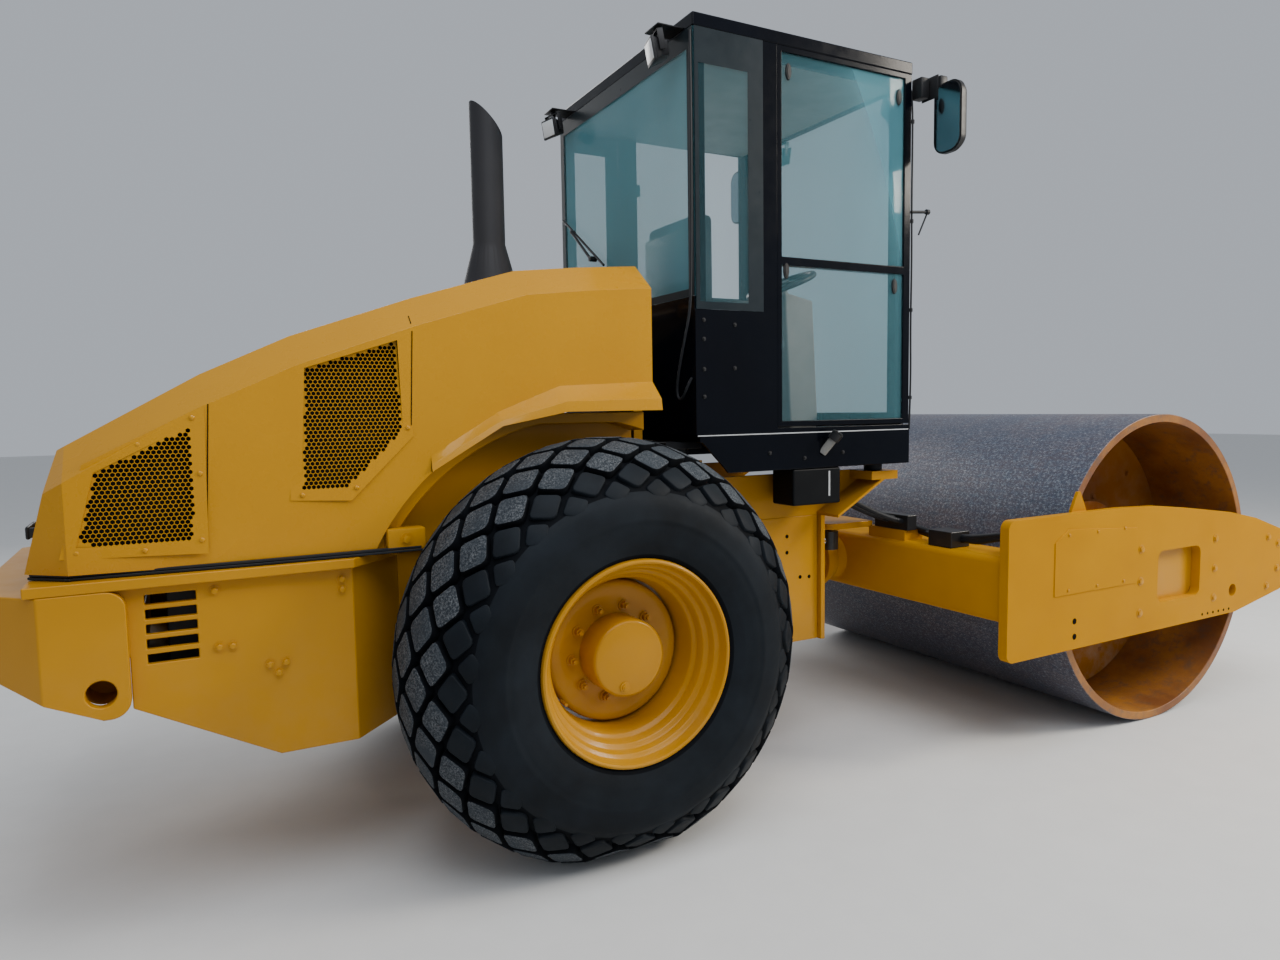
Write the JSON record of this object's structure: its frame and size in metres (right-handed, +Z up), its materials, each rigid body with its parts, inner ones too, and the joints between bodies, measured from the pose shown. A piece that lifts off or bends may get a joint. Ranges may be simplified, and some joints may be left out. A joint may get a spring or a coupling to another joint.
{
  "type": "road roller",
  "caption": "Single-drum soil roller: smooth steel drum in a swivelling yoke in front, glazed two-window cab, sloping engine hood, and rubber-tyred rear axle.",
  "frame": {"origin": "on the ground under the middle of the machine's length and width", "axes": "+X forward to the drum, +Y left, +Z up"},
  "size_m": [5.86, 2.3, 3.124],
  "materials": {
    "yellow_paint": "gloss",
    "hood_skin": "gloss",
    "cab_paint": "gloss",
    "engine_iron": "matt",
    "radiator_alloy": "matt",
    "axle_iron": "matt",
    "tyre_rubber": "matt",
    "cylinder_paint": "gloss",
    "rod_chrome": "polished",
    "carrier_paint": "satin",
    "drum_steel": "satin",
    "drum_paint": "satin",
    "mount_rubber": "matt",
    "glass": "clear",
    "seat_fabric": "woven",
    "grey_plastic": "matt",
    "black_plastic": "matt",
    "grille_metal": "matt",
    "stack_paint": "matt"
  },
  "bodies": {
    "tractor": {"rear_frame": "yellow_paint", "front_frame": "yellow_paint", "front_plate": "yellow_paint", "cab_deck": "yellow_paint", "cab_mounts": "mount_rubber", "cylinder_anchors": "yellow_paint", "rear_bumper": "yellow_paint", "engine_block": "engine_iron", "radiator": "radiator_alloy", "inner_fenders": "yellow_paint", "rear_axle": "axle_iron", "hitch_fork": "yellow_paint", "cab_base": "yellow_paint", "cab_frame": "cab_paint", "cab_roof": "cab_paint", "cab_windows": "glass", "side_window_frame": "cab_paint", "side_glass": "glass", "seat": "seat_fabric", "steering_console": "grey_plastic", "washer_bottle": "black_plastic", "mirrors": "black_plastic", "work_lamps": "black_plastic", "steps": "cab_paint", "grab_rail": "cab_paint"},
    "hitch": {"hitch_block": "yellow_paint", "steering_plate": "yellow_paint"},
    "yoke": {"yoke_sides": "yellow_paint", "yoke_rear_beam": "yellow_paint", "hose_clamps": "cylinder_paint", "yoke_front_beam": "yellow_paint", "drum_carriers": "carrier_paint", "scrapers": "yellow_paint"},
    "drum": {"drum_shell": "drum_steel", "drum_heads": "drum_paint"},
    "wheel_right": {"tyre_right": "tyre_rubber", "rim_right": "yellow_paint"},
    "wheel_left": {"tyre_left": "tyre_rubber", "rim_left": "yellow_paint"},
    "hood": {"hood_shell": "hood_skin", "hood_grilles": "grille_metal", "exhaust_stack": "stack_paint"},
    "door": {"door": "cab_paint", "door_glass": "glass"},
    "steering_wheel": {"steering_wheel": "black_plastic"},
    "barrel_right": {"steering_barrel_right": "cylinder_paint"},
    "barrel_left": {"steering_barrel_left": "cylinder_paint"},
    "rod_right": {"steering_rod_right": "rod_chrome"},
    "rod_left": {"steering_rod_left": "rod_chrome"}
  },
  "joints": [
    {"name": "articulation", "type": "hinge", "parent": "tractor", "child": "hitch", "pos_m": [0.47, 0, 0.765], "axis": [0, 0, 1], "range_deg": [-34, 34]},
    {"name": "oscillation", "type": "hinge", "parent": "hitch", "child": "yoke", "pos_m": [0.67, 0, 0.785], "axis": [1, 0, 0], "range_deg": [-15, 15]},
    {"name": "drum_spin", "type": "hinge", "parent": "yoke", "child": "drum", "pos_m": [1.905, 0, 0.765], "axis": [0, 1, 0], "continuous": true},
    {"name": "wheel_right_spin", "type": "hinge", "parent": "tractor", "child": "wheel_right", "pos_m": [-1.03, -0.82, 0.735], "axis": [0, 1, 0], "continuous": true},
    {"name": "wheel_left_spin", "type": "hinge", "parent": "tractor", "child": "wheel_left", "pos_m": [-1.03, 0.82, 0.735], "axis": [0, 1, 0], "continuous": true},
    {"name": "hood_hinge", "type": "hinge", "parent": "tractor", "child": "hood", "pos_m": [-0.69, 0, 2.02], "axis": [0, 1, 0], "range_deg": [0, 30]},
    {"name": "door_hinge", "type": "hinge", "parent": "tractor", "child": "door", "pos_m": [-0.144, 0.675, 2.2], "axis": [0, 0, 1], "range_deg": [0, 100]},
    {"name": "steering_spin", "type": "hinge", "parent": "tractor", "child": "steering_wheel", "pos_m": [0.39, 0, 2.21], "axis": [-0.3746, 0, 0.9272], "continuous": true},
    {"name": "barrel_right_swing", "type": "hinge", "parent": "tractor", "child": "barrel_right", "pos_m": [-0.23, -0.24, 0.93], "axis": [0, 0, 1], "range_deg": [0, 4.2]},
    {"name": "barrel_left_swing", "type": "hinge", "parent": "tractor", "child": "barrel_left", "pos_m": [-0.23, 0.24, 0.93], "axis": [0, 0, 1], "range_deg": [-4.2, 0]},
    {"name": "rod_right_slide", "type": "slide", "parent": "barrel_right", "child": "rod_right", "axis": [0.9984, -0.057, 0], "range_m": [-0.158, 0.158]},
    {"name": "rod_left_slide", "type": "slide", "parent": "barrel_left", "child": "rod_left", "axis": [0.9984, 0.057, 0], "range_m": [-0.158, 0.158]}
  ],
  "couplings": [
    {"joint": "rod_right_slide", "follows": "articulation", "m_per_rad": 0.264},
    {"joint": "rod_left_slide", "follows": "articulation", "m_per_rad": -0.264}
  ]
}
